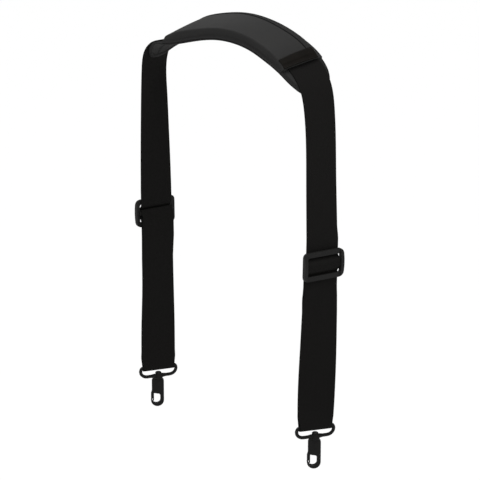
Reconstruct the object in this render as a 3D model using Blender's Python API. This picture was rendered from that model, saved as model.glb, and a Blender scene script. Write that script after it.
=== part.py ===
# Padded camera neck strap with webbing legs, sliders, swivel loops and snap hooks.
# Metres, +Z up. The origin is the neck seat: the underside of the pad at the top of the arch.
# X runs along the span, from the left leg (-X) to the right leg (+X). Y runs across the strap.
import math

import bmesh
import bpy
import numpy as np
from mathutils import Matrix, Vector

# Shared clearance between pieces that touch
GAP = 0.0003

# Webbing
WEBBING_WIDTH = 0.038
WEBBING_THICKNESS = 0.0014
PLY_GAP = 0.0004
FOLD_PINCH = 0.0034
FOLD_PINCH_REACH = 0.0110
TAB_LENGTH = 0.012
SLIDER_FLAT = 0.022
BAR_FLAT = 0.006
FLAT_EASE = 0.016

# Arch and legs
HALF_SPAN = 0.1275
DROP = 0.3945
SLIDER_TO_RING = 0.1752

# Pad
BASE_HALF_LENGTH = 0.140
BASE_THICKNESS = 0.0020
TONGUE_ROUND = 0.026
TONGUE_TIP = 0.004
TONGUE_EASE = 0.7
COVER_HALF_LENGTH = 0.0965
COVER_SHIFT = 0.0065
PAD_HALF_WIDTH = 0.029
BODY_HEIGHT = 0.0060
BODY_CROWN = 0.0010
SIDE_RUN = 0.0036
FLANGE_NEAR = 0.0022
FLANGE_FAR = 0.0044
FLANGE_THICKNESS = 0.0016
LABEL_WIDTH = 0.042
LABEL_LENGTH = 0.011
LABEL_THICKNESS = 0.0007

# Slider
SLIDER_HEIGHT = 0.0300
SLIDER_BAR_HEIGHT = 0.0052
SLIDER_THICKNESS = 0.0030
SLIDER_BULGE = 0.0022
SLIDER_CORNER = 0.0050
SLIDER_SLOT_SIDE = 0.0009
SLIDER_SIDE_BAR = 0.0036
SLIDER_WINDOW_CORNER = 0.0014
SLIDER_WIDTH = WEBBING_WIDTH + 2 * (SLIDER_SLOT_SIDE + SLIDER_SIDE_BAR)
CENTRE_BAR_HEIGHT = 0.0050
CENTRE_BAR_THICKNESS = 0.0024
CENTRE_BAR_SINK = 0.0016
DIVE_ANGLE = math.radians(40)

# Swivel loop
RING_WIRE = 0.0018
RING_PLAY = 0.0006
RING_STRAIGHT = (WEBBING_WIDTH - FOLD_PINCH) / 2 + GAP
RING_TOP_REACH = 0.0028
RING_TOP_DROP = 0.0042
RING_LOW_REACH = 0.0075
RING_LOW_DROP = 0.00635
BOSS_TOP_RADIUS = 0.0032
BOSS_FOOT_RADIUS = 0.0047
BOSS_RISE = 0.0026
BOSS_FALL = 0.0032
FLARE_LENGTH = 0.0036
FLARE_RADIUS = 0.0024

# Hook
STUD_RADIUS = 0.0016
CAP_RADIUS = 0.0034
CAP_HEIGHT = 0.0016
HOOK_LENGTH = 0.0313
HOOK_RIGHT = 0.0059
HOOK_LEFT = 0.0072
HOOK_THICKNESS = 0.0052
HOOK_SHOULDER = 0.0020
HOOK_CHAMFER = 0.0007
HOOK_TURN = math.radians(-18)
EYE_WIDTH = 0.0088
EYE_LENGTH = 0.0112
EYE_ROUND = 0.0038
EYE_SHIFT = 0.0025
RIM_HEIGHT = 0.0035
NOSE_REACH = 0.0012
NOSE_HEIGHT = 0.0076
NOSE_TIP = 0.0015

# Gate
GATE_REACH = 0.0010
GATE_TIP_THICKNESS = 0.0013
GATE_WIDTH = 0.0032
GATE_TIP_RISE = 0.0063
GATE_SLOT_ROOM = 0.0012
GATE_ROOT_RADIUS = 0.0011
GATE_ROOT_RISE = 0.0030

# The strap's run, from the left loop's bar over the arch to the right loop's bar.
# across: share of HALF_SPAN. down: share of DROP. roll: turn about the run, in degrees.
RUN_COLUMNS = ("across", "down", "roll")
RUN_ROWS = (
    (-0.984, 1.000, -20.0),
    (-0.982, 0.890, -18.5),
    (-0.978, 0.780, -10.5),
    (-0.982, 0.660, -8.5),
    (-0.988, 0.560, -8.5),
    (-0.994, 0.440, -6.5),
    (-1.000, 0.323, -1.0),
    (-1.004, 0.228, 4.0),
    (-1.002, 0.158, 7.0),
    (-0.960, 0.1065, 3.0),
    (-0.840, 0.0745, -2.0),
    (-0.680, 0.0560, 6.0),
    (-0.500, 0.036, 13.0),
    (0.000, 0.000, 14.0),
    (0.520, 0.021, 12.5),
    (0.800, 0.052, 10.0),
    (0.925, 0.097, 7.5),
    (0.974, 0.158, 5.0),
    (0.992, 0.228, 4.0),
    (1.000, 0.323, 4.5),
    (1.010, 0.440, 6.5),
    (1.014, 0.560, 10.0),
    (0.998, 0.660, 17.0),
    (0.984, 0.780, 26.0),
    (0.968, 0.890, 34.0),
    (0.956, 1.000, 21.5),
)

# The pad's two edges along its run. along: share of BASE_HALF_LENGTH, from left to right.
# near and far: shares of PAD_HALF_WIDTH towards -Y and +Y.
EDGE_COLUMNS = ("along", "near", "far")
EDGE_ROWS = (
    (-1.00, 0.56, 0.86),
    (-0.84, 0.62, 1.00),
    (-0.70, 0.78, 1.02),
    (-0.35, 0.90, 0.93),
    (0.00, 0.84, 0.98),
    (0.35, 0.78, 1.03),
    (0.70, 1.00, 0.84),
    (1.00, 0.80, 0.76),
)

# Places of the tongue's last stations, as shares of TONGUE_ROUND from its tip
TIP_STATIONS = (0.14, 0.03, 0.0)

# Places across the body's top, from its far edge to its near edge
TOP_SHARES = (1.0, 0.75, 0.5, 0.25, 0.0)

# The cover's body along its run. along: share of COVER_HALF_LENGTH. height: share of BODY_HEIGHT.
BODY_COLUMNS = ("along", "height")
BODY_ROWS = (
    (-1.00, 0.40),
    (-0.88, 0.82),
    (-0.45, 1.00),
    (0.00, 1.00),
    (0.50, 1.00),
    (0.80, 0.90),
    (1.00, 0.35),
)

RUN_SAMPLES = 4000
SHORTEST = 1e-6
STATION_STEP = 0.007
ARC_STEPS = 5
BOW_STEPS = 10
GATE_ROOT_STEPS = 8
CORNER_STEPS = 3
HALF_PLY = WEBBING_THICKNESS / 2
PLY_PITCH = WEBBING_THICKNESS + PLY_GAP

# Materials: colour, roughness and metallic value of each
FINISHES = {
    "webbing": ((0.012, 0.012, 0.011), 0.85, 0.0),
    "cover": ((0.045, 0.043, 0.040), 0.75, 0.0),
    "base": ((0.030, 0.030, 0.029), 0.80, 0.0),
    "label": ((0.014, 0.013, 0.012), 0.60, 0.0),
    "plastic": ((0.025, 0.025, 0.024), 0.45, 0.0),
    "hook_metal": ((0.030, 0.030, 0.029), 0.40, 0.0),
}


def clear_scene():
    for obj in list(bpy.data.objects):
        bpy.data.objects.remove(obj, do_unlink=True)


def material_of(name):
    """The Principled material of one finish, made once."""
    found = bpy.data.materials.get(name)
    if found:
        return found
    colour, roughness, metallic = FINISHES[name]
    made = bpy.data.materials.new(name)
    made.use_nodes = True
    shader = made.node_tree.nodes["Principled BSDF"]
    shader.inputs["Base Color"].default_value = (*colour, 1.0)
    shader.inputs["Roughness"].default_value = roughness
    shader.inputs["Metallic"].default_value = metallic
    made.diffuse_color = (*colour, 1.0)
    return made


def smooth_curve(knots, values, at):
    """A natural cubic spline through the values, read at the given places."""
    knots = np.asarray(knots, float)
    values = np.asarray(values, float)
    steps = np.diff(knots)
    slopes = np.diff(values) / steps
    count = len(knots)
    system = np.eye(count)
    right = np.zeros(count)
    for i in range(1, count - 1):
        system[i, i - 1 : i + 2] = steps[i - 1], 2 * (steps[i - 1] + steps[i]), steps[i]
        right[i] = 6 * (slopes[i] - slopes[i - 1])
    bend = np.linalg.solve(system, right)
    cell = np.clip(np.searchsorted(knots, at, side="right") - 1, 0, count - 2)
    before = at - knots[cell]
    after = knots[cell + 1] - at
    width = steps[cell]
    return (
        bend[cell] * after**3 / (6 * width)
        + bend[cell + 1] * before**3 / (6 * width)
        + (values[cell] / width - bend[cell] * width / 6) * after
        + (values[cell + 1] / width - bend[cell + 1] * width / 6) * before
    )


class Run:
    """The strap's centre line with its width and outward directions, by arc length from the apex."""

    def __init__(self):
        rows = np.array(RUN_ROWS)
        points = np.stack([HALF_SPAN * rows[:, 0], -DROP * rows[:, 1]], axis=1)
        chords = np.linalg.norm(np.diff(points, axis=0), axis=1)
        knots = np.concatenate([[0.0], np.cumsum(chords)])
        at = np.linspace(0.0, knots[-1], RUN_SAMPLES)
        x = smooth_curve(knots, points[:, 0], at)
        z = smooth_curve(knots, points[:, 1], at)
        self.roll = np.radians(smooth_curve(knots, rows[:, 2], at))
        self.places = np.stack([x, np.zeros_like(x), z], axis=1)
        moves = np.gradient(self.places, axis=0)
        self.ways = moves / np.linalg.norm(moves, axis=1, keepdims=True)
        lengths = np.linalg.norm(np.diff(self.places, axis=0), axis=1)
        travelled = np.concatenate([[0.0], np.cumsum(lengths)])
        self.along = travelled - np.interp(knots[self.apex_row()], at, travelled)
        for side in (-1, 1):
            self.flatten(side * self.end(side), BAR_FLAT)
            self.flatten(side * (self.end(side) - SLIDER_TO_RING), SLIDER_FLAT)
        seat, _, out, _ = self.frame(0.0)
        self.places = self.places - np.array(seat - out * SEAT_DEPTH)

    def flatten(self, centre, half):
        """Makes the run straight and even on both sides of a hard piece, and eases it back beyond."""
        place = [np.interp(centre, self.along, self.places[:, k]) for k in range(3)]
        way = [np.interp(centre, self.along, self.ways[:, k]) for k in range(3)]
        roll = np.interp(centre, self.along, self.roll)
        straight = np.array(place) + np.outer(self.along - centre, way)
        share = np.clip((half + FLAT_EASE - np.abs(self.along - centre)) / FLAT_EASE, 0, 1)
        share = share * share * (3 - 2 * share)
        self.roll = self.roll + share * (roll - self.roll)
        self.places = self.places + share[:, None] * (straight - self.places)
        self.ways = self.ways + share[:, None] * (np.array(way) - self.ways)

    @staticmethod
    def apex_row():
        return next(i for i, row in enumerate(RUN_ROWS) if row[1] == 0.0)

    def end(self, side):
        """Arc length from the apex to the loop's bar on this side, always positive."""
        return abs(self.along[-1] if side > 0 else self.along[0])

    def frame(self, s):
        """Place, width direction (towards +Y), outward direction and run direction (towards +X)."""
        place = Vector([np.interp(s, self.along, self.places[:, k]) for k in range(3)])
        way = Vector([np.interp(s, self.along, self.ways[:, k]) for k in range(3)]).normalized()
        place += way * (s - min(max(s, self.along[0]), self.along[-1]))
        roll = float(np.interp(s, self.along, self.roll))
        width = (Vector((0, 1, 0)) - way * way.y).normalized()
        out = way.cross(width)
        return (
            place,
            width * math.cos(roll) + out * math.sin(roll),
            out * math.cos(roll) - width * math.sin(roll),
            way,
        )

    def point(self, s, across, out):
        """A point beside the run. Between two shared stations it lies on their straight line."""
        cell = math.floor(s / STATION_STEP)
        spots = []
        for station in (cell * STATION_STEP, (cell + 1) * STATION_STEP):
            place, width, outward, _ = self.frame(station)
            spots.append(place + width * across + outward * out)
        return spots[0].lerp(spots[1], s / STATION_STEP - cell)


SEAT_DEPTH = HALF_PLY + GAP + BASE_THICKNESS


def new_object(name, mesh_or_bmesh, finish, smooth_angle=None):
    """Makes an object of a mesh that is in world space, with its own material."""
    if isinstance(mesh_or_bmesh, bmesh.types.BMesh):
        bmesh.ops.recalc_face_normals(mesh_or_bmesh, faces=mesh_or_bmesh.faces)
        mesh = bpy.data.meshes.new(name)
        mesh_or_bmesh.to_mesh(mesh)
        mesh_or_bmesh.free()
    else:
        mesh = mesh_or_bmesh
    obj = bpy.data.objects.new(name, mesh)
    bpy.context.scene.collection.objects.link(obj)
    if finish:
        mesh.materials.append(material_of(finish))
    if smooth_angle:
        mesh.shade_smooth()
        mesh.set_sharp_from_angle(angle=smooth_angle)
    return obj


def loft(sections, closed_run=False):
    """A closed body through sections of equally many points."""
    body = bmesh.new()
    rings = [[body.verts.new(point) for point in section] for section in sections]
    pairs = list(zip(rings, rings[1:]))
    if closed_run:
        pairs.append((rings[-1], rings[0]))
    for first, second in pairs:
        for i in range(len(first)):
            j = (i + 1) % len(first)
            body.faces.new((first[i], first[j], second[j], second[i]))
    if not closed_run:
        body.faces.new(rings[0])
        body.faces.new(rings[-1][::-1])
    return body


def column(rows, columns, name, at):
    """One column of a table, read smoothly along its first column."""
    table = np.array(rows)
    return float(smooth_curve(table[:, 0], table[:, columns.index(name)], np.array([at]))[0])


def filleted(points, radius):
    """A path in the plane of the run, with an arc at each corner."""
    path = [np.array(points[0])]
    for before, corner, after in zip(points, points[1:], points[2:]):
        corner = np.array(corner)
        back = np.array(before) - corner
        ahead = np.array(after) - corner
        back_length = np.linalg.norm(back)
        ahead_length = np.linalg.norm(ahead)
        back = back / back_length
        ahead = ahead / ahead_length
        half = math.acos(max(-1.0, min(1.0, float(back @ ahead)))) / 2
        setback = min(radius / math.tan(half), 0.45 * back_length, 0.45 * ahead_length)
        start = corner + back * setback
        finish = corner + ahead * setback
        for step in range(CORNER_STEPS + 1):
            k = step / CORNER_STEPS
            path.append((1 - k) ** 2 * start + 2 * k * (1 - k) * corner + k**2 * finish)
    path.append(np.array(points[-1]))
    return path


def arc(centre, radius, first, last, steps):
    """Points of an arc, with angles measured from the outward direction towards the loop."""
    return [
        (
            centre[0] + radius * math.sin(first + (last - first) * k / steps),
            centre[1] + radius * math.cos(first + (last - first) * k / steps),
        )
        for k in range(steps + 1)
    ]


def webbing_path(run, side):
    """The webbing's middle line as (distance from the apex, outward offset), from the pad to the tab's end."""
    bar = run.end(side)
    slider = bar - SLIDER_TO_RING
    wrap_radius = CENTRE_BAR_THICKNESS / 2 + GAP + HALF_PLY
    over_radius = wrap_radius + PLY_PITCH
    level = CENTRE_BAR_LEVEL
    round_centre = (CENTRE_BAR_HEIGHT - CENTRE_BAR_THICKNESS) / 2
    fold_radius = RING_WIRE + RING_PLAY + HALF_PLY
    tab_end = slider + SLIDER_HEIGHT / 2 + TAB_LENGTH
    ease = 2 * TAB_LENGTH
    spread = 6 * fold_radius

    def dive(radius, floor):
        """Distance past the bar's round centre at which a ply that leaves it reaches the floor level."""
        fall = level + radius * math.cos(DIVE_ANGLE) - floor
        return round_centre + radius * math.sin(DIVE_ANGLE) + fall / math.tan(DIVE_ANGLE)

    over = arc((slider - round_centre, level), over_radius, -DIVE_ANGLE, 0.0, ARC_STEPS)
    over += arc((slider + round_centre, level), over_radius, 0.0, DIVE_ANGLE, ARC_STEPS)
    outer = filleted(
        [(GAP / 2, 0.0), (slider - dive(over_radius, 0.0), 0.0), over[0]], WEBBING_THICKNESS
    )[:-1]
    outer += [np.array(point) for point in over]
    outer += filleted(
        [
            over[-1],
            (slider + dive(over_radius, 0.0), 0.0),
            (tab_end, 0.0),
            (tab_end + ease, PLY_PITCH / 2),
            (bar - spread, PLY_PITCH / 2),
            (bar, fold_radius),
        ],
        WEBBING_THICKNESS,
    )[1:]
    fold = arc((bar, 0.0), fold_radius, 0.0, math.pi, 2 * ARC_STEPS)[1:]
    wrap = arc((slider - round_centre, level), wrap_radius, -math.pi, 0.0, 2 * ARC_STEPS)
    wrap += arc((slider + round_centre, level), wrap_radius, 0.0, DIVE_ANGLE, ARC_STEPS)
    tab_floor = -PLY_PITCH
    inner = filleted(
        [
            fold[-1],
            (bar - spread, -PLY_PITCH / 2),
            (tab_end + ease, -PLY_PITCH / 2),
            (tab_end, -2 * PLY_PITCH),
            (slider + dive(wrap_radius, tab_floor) - WEBBING_THICKNESS, -2 * PLY_PITCH),
            wrap[0],
        ],
        WEBBING_THICKNESS,
    )[1:-1]
    tab = filleted(
        [wrap[-1], (slider + dive(wrap_radius, tab_floor), tab_floor), (tab_end, tab_floor)],
        WEBBING_THICKNESS,
    )[1:]
    path = outer + [np.array(point) for point in fold] + inner
    return path + [np.array(point) for point in wrap] + tab


def stations(low, high):
    """The run's shared stations strictly between two distances, from low to high."""
    margin = 0.1
    first = math.floor(low / STATION_STEP + margin) + 1
    last = math.ceil(high / STATION_STEP - margin) - 1
    return [k * STATION_STEP for k in range(first, last + 1)]


def spaced(path):
    """The same path with its long stretches cut at the run's shared stations."""
    points = [path[0]]
    for here, there in zip(path, path[1:]):
        if np.linalg.norm(there - here) < SHORTEST:
            continue
        cuts = stations(min(here[0], there[0]), max(here[0], there[0]))
        if there[0] < here[0]:
            cuts = cuts[::-1]
        for cut in cuts:
            points.append(here + (there - here) * (cut - here[0]) / (there[0] - here[0]))
        points.append(there)
    return points


def webbing_width(run, side, distance):
    """The width, a little narrower where the webbing folds round the loop's bar."""
    near_fold = max(0.0, 1.0 - abs(run.end(side) - distance) / FOLD_PINCH_REACH)
    return WEBBING_WIDTH - FOLD_PINCH * near_fold


def make_webbing(run, side, name):
    path = spaced(webbing_path(run, side))
    sections = []
    for i, here in enumerate(path):
        before = path[max(i - 1, 0)]
        after = path[min(i + 1, len(path) - 1)]
        back = here - before
        ahead = after - here
        back = back / (np.linalg.norm(back) or 1.0)
        ahead = ahead / (np.linalg.norm(ahead) or 1.0)
        way = back + ahead
        way = way / np.linalg.norm(way)
        normal = np.array([-way[1], way[0]])
        stretch = 1.0
        if 0 < i < len(path) - 1:
            stretch = 1.0 / max(0.7, float(way @ ahead))
        half = webbing_width(run, side, here[0]) / 2
        section = []
        for across, out in ((-1, -1), (0, -1), (1, -1), (1, 1), (0, 1), (-1, 1)):
            spot = here + normal * (out * HALF_PLY * stretch)
            section.append(run.point(side * spot[0], across * half, spot[1]))
        sections.append(section)
    return new_object(name, loft(sections), "webbing")


def edge_widths(s):
    """The base's two half widths at this place, with the tongue's round end."""
    share = max(-1.0, min(1.0, s / BASE_HALF_LENGTH))
    near = column(EDGE_ROWS, EDGE_COLUMNS, "near", share) * PAD_HALF_WIDTH
    far = column(EDGE_ROWS, EDGE_COLUMNS, "far", share) * PAD_HALF_WIDTH
    into_round = (abs(s) - (BASE_HALF_LENGTH - TONGUE_ROUND)) / TONGUE_ROUND
    if into_round > 0:
        keep = math.sqrt(max(0.0, 1.0 - into_round**2))
        near = TONGUE_TIP + (near - TONGUE_TIP) * keep
        far = TONGUE_TIP + (far - TONGUE_TIP) * keep
    return near, far


def make_base(run):
    inner = -SEAT_DEPTH
    outer = -HALF_PLY - GAP
    half = stations(0.0, BASE_HALF_LENGTH)
    half += [BASE_HALF_LENGTH - TONGUE_ROUND * share for share in TIP_STATIONS]
    sections = []
    for s in [*(-s for s in half[::-1]), 0.0, *half]:
        near, far = edge_widths(s)
        webbing_edge = min(WEBBING_WIDTH / 2, TONGUE_EASE * near, TONGUE_EASE * far)
        places = (-near, -webbing_edge, 0.0, webbing_edge, far)
        section = [run.point(s, across, inner) for across in places]
        section += [run.point(s, across, outer) for across in places[::-1]]
        sections.append(section)
    return new_object("pad_base", loft(sections), "base")


def body_height(s):
    share = (s - COVER_SHIFT) / COVER_HALF_LENGTH
    return column(BODY_ROWS, BODY_COLUMNS, "height", share) * BODY_HEIGHT


def body_edges(s):
    """The raised body's two edges, in from the sloping sides and the flange."""
    near, far = edge_widths(s)
    return near - SIDE_RUN - FLANGE_NEAR, far - SIDE_RUN - FLANGE_FAR


def body_top(s, share):
    """Outward level of the body's crowned top, at a share from its near edge to its far edge."""
    crown = BODY_CROWN * 4 * share * (1 - share)
    return HALF_PLY + GAP + FLANGE_THICKNESS + body_height(s) + crown


def make_cover(run):
    seat = -HALF_PLY
    lid = HALF_PLY + GAP
    channel = WEBBING_WIDTH / 2 + GAP
    sections = []
    left = COVER_SHIFT - COVER_HALF_LENGTH
    right = COVER_SHIFT + COVER_HALF_LENGTH
    for s in [left, *stations(left, right), right]:
        near, far = edge_widths(s)
        top_near, top_far = body_edges(s)
        foot = seat + FLANGE_THICKNESS
        outline = [
            (-near, seat),
            (-channel, seat),
            (-channel, lid),
            (0.0, lid),
            (channel, lid),
            (channel, seat),
            (far, seat),
            (far, foot),
            (top_far + SIDE_RUN, foot + FLANGE_THICKNESS / 2),
        ]
        for share in TOP_SHARES:
            outline.append((-top_near + (top_near + top_far) * share, body_top(s, share)))
        outline.append((-top_near - SIDE_RUN, foot + FLANGE_THICKNESS / 2))
        outline.append((-near, foot))
        sections.append([run.point(s, across, out) for across, out in outline])
    return new_object("shoulder_pad", loft(sections), "cover", math.radians(30))


def make_label(run):
    """The tag across the cover's right end, bowed with the body's crown."""
    steps = 8
    sections = []
    finish = COVER_SHIFT + COVER_HALF_LENGTH
    start = finish - LABEL_LENGTH
    for s in [start, *stations(start, finish), finish]:
        near, far = body_edges(s)
        middle = (far - near) / 2
        half = min(LABEL_WIDTH, near + far) / 2
        under = []
        over = []
        for k in range(steps + 1):
            across = middle - half + 2 * half * k / steps
            share = (across + near) / (near + far)
            level = body_top(s, share) + GAP
            under.append(run.point(s, across, level))
            over.append(run.point(s, across, level + LABEL_THICKNESS))
        sections.append(under + over[::-1])
    return new_object("label_tag", loft(sections), "label")


def leg_matrix(run, side, distance, out=0.0):
    """Frame on a leg: x across, y up the run, z outward."""
    place, width, outward, way = run.frame(side * distance)
    up = way * -side
    across = up.cross(outward)
    turned = Matrix((across, up, outward)).transposed().to_4x4()
    return Matrix.Translation(place + outward * out) @ turned


def cutter(name, body):
    obj = new_object(name, body, None)
    obj.hide_render = True
    obj.display_type = "WIRE"
    return obj


def box(low, high):
    body = bmesh.new()
    bmesh.ops.create_cube(body, size=1.0)
    for vert in body.verts:
        for k in range(3):
            vert.co[k] = low[k] + (vert.co[k] + 0.5) * (high[k] - low[k])
    return body


def rounded_box(half_width, half_height, corner, reach):
    """A box on the z axis with its four upright edges rounded."""
    outline = []
    for quarter in range(4):
        turn = quarter * math.pi / 2
        x = (half_width - corner) * (1 if quarter in (0, 3) else -1)
        y = (half_height - corner) * (1 if quarter in (0, 1) else -1)
        for k in range(ARC_STEPS):
            angle = turn + math.pi / 2 * k / (ARC_STEPS - 1)
            outline.append((x + corner * math.cos(angle), y + corner * math.sin(angle)))
    return loft([[(x, y, z) for x, y in outline] for z in (-reach, reach)])


def turned(profile, sides):
    """A solid of revolution about z from (radius, height) points, lowest first."""
    sections = []
    for radius, height in profile:
        sections.append(
            [
                (
                    radius * math.cos(2 * math.pi * k / sides),
                    radius * math.sin(2 * math.pi * k / sides),
                    height,
                )
                for k in range(sides)
            ]
        )
    return loft(sections)


def combine(obj, other, operation):
    modifier = obj.modifiers.new(f"{operation.lower()}_{other.name}", "BOOLEAN")
    modifier.operation = operation
    modifier.object = other
    modifier.solver = "EXACT"


def helper(name, body, matrix):
    obj = cutter(name, body)
    obj.matrix_world = matrix
    return obj


def make_slider(run, side, name):
    """A three-bar adjuster: bowed side bars, two slots and a sunk centre bar."""
    distance = run.end(side) - SLIDER_TO_RING
    matrix = leg_matrix(run, side, distance, SLIDER_LEVEL)
    half_width = SLIDER_WIDTH / 2
    half_height = SLIDER_HEIGHT / 2
    half_thickness = SLIDER_THICKNESS / 2
    corner = []
    for k in range(ARC_STEPS):
        angle = math.pi / 2 * k / (ARC_STEPS - 1)
        corner.append((SLIDER_CORNER * (1 - math.sin(angle)), SLIDER_CORNER * (1 - math.cos(angle))))
    across_rows = [(-half_width + inset, cut) for inset, cut in corner[::-1]]
    across_rows += [(half_width - inset, cut) for inset, cut in corner]
    sections = []
    for across, cut in across_rows:
        top = half_height - cut
        rows = []
        for k in range(BOW_STEPS + 1):
            along = top - 2 * top * k / BOW_STEPS
            bow = SLIDER_BULGE * (1 - (along / half_height) ** 2)
            rows.append((across, along, half_thickness + bow))
        rows.append((across, -top, -half_thickness))
        rows.append((across, top, -half_thickness))
        sections.append(rows)
    obj = new_object(name, loft(sections), "plastic", math.radians(30))
    obj.matrix_world = matrix
    window_half = WEBBING_WIDTH / 2 + SLIDER_SLOT_SIDE
    window_top = half_height - SLIDER_BAR_HEIGHT
    reach = SLIDER_THICKNESS + SLIDER_BULGE
    window = rounded_box(window_half, window_top, SLIDER_WINDOW_CORNER, reach)
    combine(obj, helper(name + "_window", window, matrix), "DIFFERENCE")
    for end in (-1, 1):
        low = min(end * window_top, end * SLIDER_HEIGHT)
        high = max(end * window_top, end * SLIDER_HEIGHT)
        shave = box((-window_half, low, half_thickness), (window_half, high, reach))
        combine(obj, helper(f"{name}_shave_{'low' if end < 0 else 'high'}", shave, matrix), "DIFFERENCE")
    bar_round = CENTRE_BAR_THICKNESS / 2
    straight = CENTRE_BAR_HEIGHT / 2 - bar_round
    outline = []
    for end in (1, -1):
        for k in range(ARC_STEPS + 1):
            angle = math.pi * k / ARC_STEPS
            outline.append(
                (
                    end * (straight + bar_round * math.sin(angle)),
                    end * bar_round * math.cos(angle) - CENTRE_BAR_SINK,
                )
            )
    bar_half = window_half + SLIDER_SLOT_SIDE
    bar = loft([[(x, y, z) for y, z in outline] for x in (-bar_half, bar_half)])
    combine(obj, helper(name + "_centre_bar", bar, matrix), "UNION")
    return obj


def hanging_matrix(run, side):
    """Frame of what hangs in the fold: x across the strap, z straight up."""
    place, width, _, _ = run.frame(side * run.end(side))
    across = Vector((width.x, width.y, 0)).normalized()
    up = Vector((0, 0, 1))
    turned_frame = Matrix((across, up.cross(across), up)).transposed().to_4x4()
    return Matrix.Translation(place) @ turned_frame


def ring_outline():
    """The loop's middle line in its plane, as (across, up) from the top bar's middle."""
    low = -RING_TOP_DROP - RING_LOW_DROP
    half = [(0.0, 0.0), (RING_STRAIGHT / 2, 0.0)]
    for k in range(ARC_STEPS + 1):
        angle = math.pi / 2 * k / ARC_STEPS
        half.append(
            (
                RING_STRAIGHT + RING_TOP_REACH * math.sin(angle),
                RING_TOP_DROP * (math.cos(angle) - 1),
            )
        )
    for k in range(1, ARC_STEPS + 1):
        angle = math.pi / 2 * k / ARC_STEPS
        half.append(
            (
                RING_STRAIGHT + RING_TOP_REACH - RING_LOW_REACH * (1 - math.cos(angle)),
                -RING_TOP_DROP - RING_LOW_DROP * math.sin(angle),
            )
        )
    half.append((BOSS_FOOT_RADIUS + FLARE_LENGTH, low))
    half.append((BOSS_FOOT_RADIUS, low))
    half.append((0.0, low))
    return half + [(-x, z) for x, z in half[-2:0:-1]]


def make_ring(run, side, name):
    """The oval loop with a flared boss that the hook's stud passes through."""
    sides = 10
    path = ring_outline()
    sections = []
    count = len(path)
    low = -RING_TOP_DROP - RING_LOW_DROP
    for i, (x, z) in enumerate(path):
        back = Vector((x - path[i - 1][0], 0, z - path[i - 1][1])).normalized()
        after = path[(i + 1) % count]
        ahead = Vector((after[0] - x, 0, after[1] - z)).normalized()
        way = (back + ahead).normalized()
        spread = Vector((way.z, 0, -way.x))
        radius = RING_WIRE
        if z == low and abs(x) <= BOSS_FOOT_RADIUS:
            radius = FLARE_RADIUS
        section = []
        for k in range(sides):
            angle = 2 * math.pi * (k + 0.5) / sides
            section.append(
                Vector((x, 0, z))
                + spread * (radius * math.cos(angle))
                + Vector((0, 1, 0)) * (radius * math.sin(angle))
            )
        sections.append(section)
    matrix = hanging_matrix(run, side)
    obj = new_object(name, loft(sections, closed_run=True), "plastic", math.radians(40))
    obj.matrix_world = matrix
    at_boss = matrix @ Matrix.Translation((0, 0, low))
    boss = turned(
        [
            (BOSS_FOOT_RADIUS, -BOSS_FALL),
            (BOSS_FOOT_RADIUS * 0.97, -BOSS_FALL / 2),
            (BOSS_TOP_RADIUS * 1.15, BOSS_RISE / 3),
            (BOSS_TOP_RADIUS, BOSS_RISE),
        ],
        16,
    )
    combine(obj, helper(name + "_boss", boss, at_boss), "UNION")
    hole = STUD_RADIUS + GAP
    bore = turned([(hole, -2 * BOSS_FALL), (hole, 2 * BOSS_RISE)], 14)
    combine(obj, helper(name + "_bore", bore, at_boss), "DIFFERENCE")
    return obj


def hook_matrix(run, side):
    """Frame of a hook: z along the stud, its zero at the loop's lower bar, x away from the gate."""
    down = Matrix.Translation((0, 0, -RING_TOP_DROP - RING_LOW_DROP))
    return hanging_matrix(run, side) @ down @ Matrix.Rotation(HOOK_TURN, 4, "Z")


HOOK_TOP = -BOSS_FALL - GAP
HOOK_FOOT = HOOK_TOP - HOOK_LENGTH
EYE_FOOT = HOOK_FOOT + RIM_HEIGHT
EYE_TOP = EYE_FOOT + EYE_LENGTH
GATE_ROOT_Z = EYE_TOP + GATE_ROOT_RISE
NOSE_TOP = HOOK_FOOT + NOSE_HEIGHT
GATE_ROOT_X = -HOOK_LEFT + GATE_ROOT_RADIUS


def nose_inner_x():
    return -HOOK_LEFT - NOSE_REACH + NOSE_TIP


def hook_outline():
    """The hook body's outline seen face on, as (x, z): a shank with an eye that is open on the gate's side."""
    right = HOOK_RIGHT
    left = -HOOK_LEFT
    outer_left = left - NOSE_REACH
    outer_middle = (right + outer_left) / 2
    outer_radius = (right - outer_left) / 2
    eye_middle = -EYE_SHIFT
    eye_half = EYE_WIDTH / 2
    shoulder = HOOK_SHOULDER
    bends = 9
    points = []
    for k in range(4):
        angle = math.pi / 2 * (1 - k / 3)
        points.append(
            (right - shoulder + shoulder * math.cos(angle), HOOK_TOP - shoulder + shoulder * math.sin(angle))
        )
    for k in range(bends + 1):
        angle = -math.pi * k / bends
        points.append(
            (outer_middle + outer_radius * math.cos(angle), HOOK_FOOT + outer_radius + outer_radius * math.sin(angle))
        )
    inner = nose_inner_x()
    points.append((outer_left + NOSE_TIP / 3, NOSE_TOP + NOSE_TIP / 2))
    points.append((inner - NOSE_TIP / 4, NOSE_TOP + NOSE_TIP / 2))
    points.append((inner, NOSE_TOP))
    for k in range(bends + 1):
        angle = -math.pi * (1 - k / bends)
        points.append(
            (eye_middle + eye_half * math.cos(angle), EYE_FOOT + EYE_ROUND * (1 + math.sin(angle)))
        )
    points.append((eye_middle + eye_half, EYE_TOP - shoulder))
    points.append((eye_middle + eye_half - shoulder / 2, EYE_TOP - shoulder / 4))
    points.append((eye_middle - eye_half + shoulder, EYE_TOP + shoulder / 4))
    points.append((left, EYE_TOP + shoulder / 2))
    for k in range(4):
        angle = math.pi / 2 * (1 + (1 - k / 3))
        points.append(
            (left + shoulder + shoulder * math.cos(angle), HOOK_TOP - shoulder + shoulder * math.sin(angle))
        )
    return points


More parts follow.
